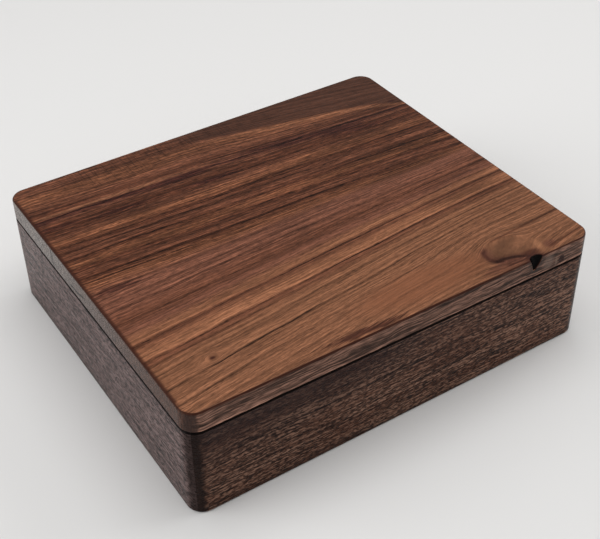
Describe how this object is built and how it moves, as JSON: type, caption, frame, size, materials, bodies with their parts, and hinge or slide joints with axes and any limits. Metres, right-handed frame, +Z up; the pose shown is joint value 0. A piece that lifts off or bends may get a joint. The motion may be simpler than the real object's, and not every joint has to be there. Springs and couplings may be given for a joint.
{
  "type": "keepsake box",
  "caption": "Low rectangular walnut keepsake box: mitred frame, flush solid slab lid with an open knot, stop hinges at the back and a felt-lined inside.",
  "frame": {"origin": "on the standing surface, under the middle of the closed box's overall outline with the hinge barrels counted in", "axes": "+X along the front to the right, +Y from the front to the hinged back, +Z up"},
  "size_m": [0.254, 0.219, 0.07],
  "materials": {
    "walnut_lid": "solid black walnut slab with reddish-brown stripes, oiled, satin",
    "walnut_frame": "solid black walnut boards, dark brown with fine pores, oiled, satin",
    "walnut_panel": "walnut-veneered panel, oiled",
    "felt": "dark brown wool felt",
    "brass": "extruded brass, satin"
  },
  "bodies": {
    "box": {"front_board": "walnut_frame", "back_board": "walnut_frame", "left_board": "walnut_frame", "right_board": "walnut_frame", "bottom_panel": "walnut_panel", "felt_lining": "felt", "left_hinge_box_leaf": "brass", "right_hinge_box_leaf": "brass", "left_hinge_pin": "brass", "right_hinge_pin": "brass", "left_hinge_box_screws": "brass", "right_hinge_box_screws": "brass"},
    "lid": {"lid_board": "walnut_lid", "left_hinge_lid_leaf": "brass", "right_hinge_lid_leaf": "brass", "left_hinge_lid_screws": "brass", "right_hinge_lid_screws": "brass"}
  },
  "joints": [
    {"name": "lid_hinge", "type": "hinge", "parent": "box", "child": "lid", "pos_m": [0, 0.10712, 0.05685], "axis": [-1, 0, 0], "range_deg": [0, 95]}
  ]
}
